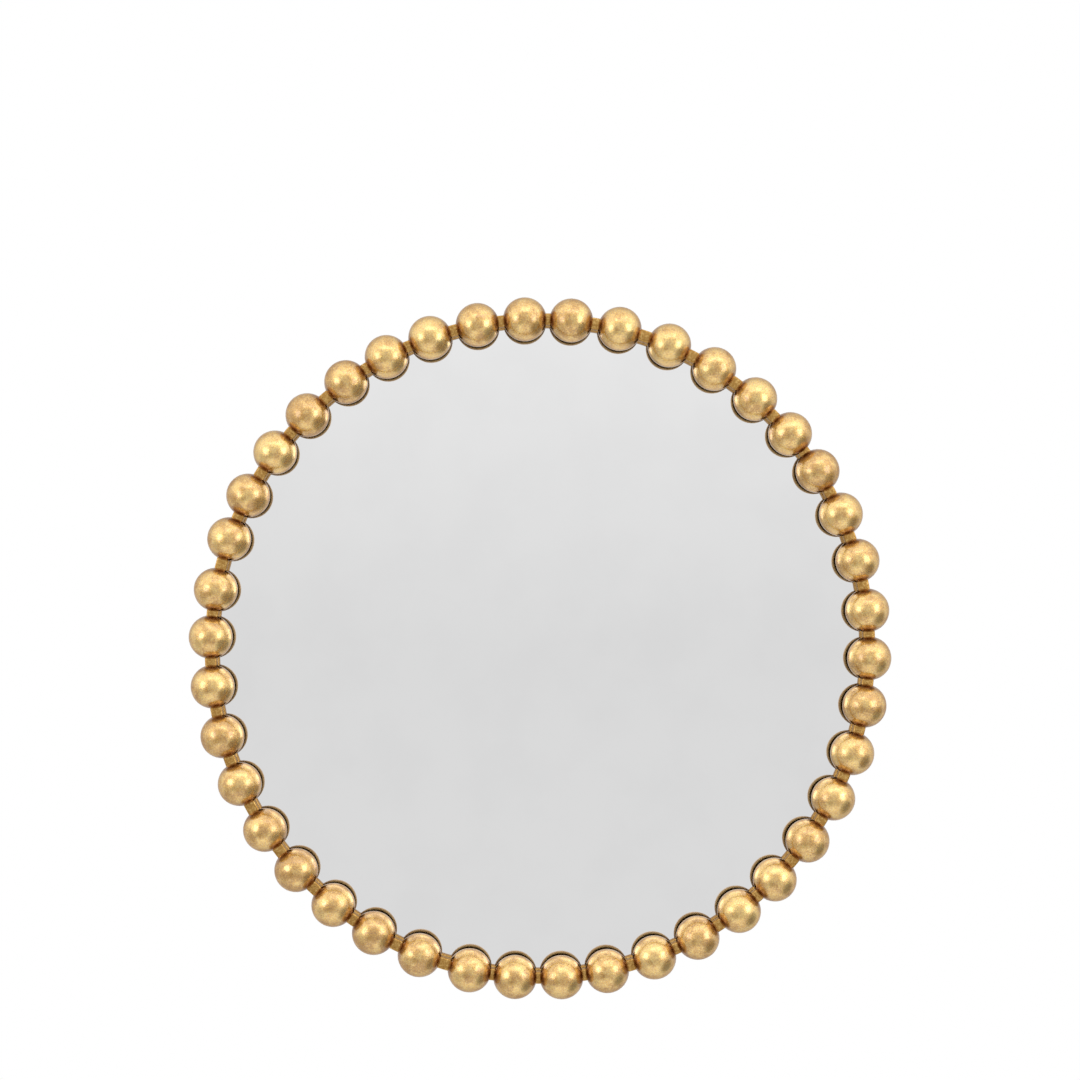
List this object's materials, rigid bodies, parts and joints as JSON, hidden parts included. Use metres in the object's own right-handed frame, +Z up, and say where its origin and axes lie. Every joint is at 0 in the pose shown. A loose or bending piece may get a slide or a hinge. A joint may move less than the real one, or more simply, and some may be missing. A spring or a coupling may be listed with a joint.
{
  "type": "round wall mirror",
  "caption": "Flat round wall mirror framed by gilded metal beads set on a bar hoop, with a backing board, folded tabs and swinging D-ring hangers.",
  "frame": {"origin": "centre of the backing board's flat rear face", "axes": "+Z up as the mirror hangs, +Y out of the back towards the wall, so the mirror's face looks along -Y; +X to the right seen from the front"},
  "size_m": [0.7996, 0.057, 0.7988],
  "materials": {
    "bead_gilding": "aged metal leaf over pressed steel, satin, mottled and brushed",
    "bar_gilding": "aged metal leaf over a rolled steel bar, satin, browner than the beads",
    "silvered_glass": "flat float glass, silvered at the back, polished edge",
    "fibreboard": "raw medium-density fibreboard, sanded",
    "zinc_plate": "zinc-plated steel, satin",
    "bumper_rubber": "matt black rubber"
  },
  "bodies": {
    "mirror": {"bead_01": "bead_gilding", "bead_02": "bead_gilding", "bead_03": "bead_gilding", "bead_04": "bead_gilding", "bead_05": "bead_gilding", "bead_06": "bead_gilding", "bead_07": "bead_gilding", "bead_08": "bead_gilding", "bead_09": "bead_gilding", "bead_10": "bead_gilding", "bead_11": "bead_gilding", "bead_12": "bead_gilding", "bead_13": "bead_gilding", "bead_14": "bead_gilding", "bead_15": "bead_gilding", "bead_16": "bead_gilding", "bead_17": "bead_gilding", "bead_18": "bead_gilding", "bead_19": "bead_gilding", "bead_20": "bead_gilding", "bead_21": "bead_gilding", "bead_22": "bead_gilding", "bead_23": "bead_gilding", "bead_24": "bead_gilding", "bead_25": "bead_gilding", "bead_26": "bead_gilding", "bead_27": "bead_gilding", "bead_28": "bead_gilding", "bead_29": "bead_gilding", "bead_30": "bead_gilding", "bead_31": "bead_gilding", "bead_32": "bead_gilding", "bead_33": "bead_gilding", "bead_34": "bead_gilding", "bead_35": "bead_gilding", "bead_36": "bead_gilding", "bead_37": "bead_gilding", "bead_38": "bead_gilding", "bead_39": "bead_gilding", "bead_40": "bead_gilding", "bead_41": "bead_gilding", "bead_42": "bead_gilding", "bar_ring": "bar_gilding", "mirror_glass": "silvered_glass", "backing_board": "fibreboard", "retaining_tab_1": "zinc_plate", "retaining_tab_2": "zinc_plate", "retaining_tab_3": "zinc_plate", "retaining_tab_4": "zinc_plate", "retaining_tab_5": "zinc_plate", "retaining_tab_6": "zinc_plate", "hanger_strap_left": "zinc_plate", "strap_screw_left": "zinc_plate", "wall_bumper_left": "bumper_rubber", "hanger_strap_right": "zinc_plate", "strap_screw_right": "zinc_plate", "wall_bumper_right": "bumper_rubber"},
    "left_ring": {"d_ring_left": "zinc_plate"},
    "right_ring": {"d_ring_right": "zinc_plate"}
  },
  "joints": [
    {"name": "left_ring_swing", "type": "hinge", "parent": "mirror", "child": "left_ring", "pos_m": [-0.18, 0.003, 0.15], "axis": [1, 0, 0], "range_deg": [0, 178]},
    {"name": "right_ring_swing", "type": "hinge", "parent": "mirror", "child": "right_ring", "pos_m": [0.18, 0.003, 0.15], "axis": [1, 0, 0], "range_deg": [0, 178]}
  ]
}
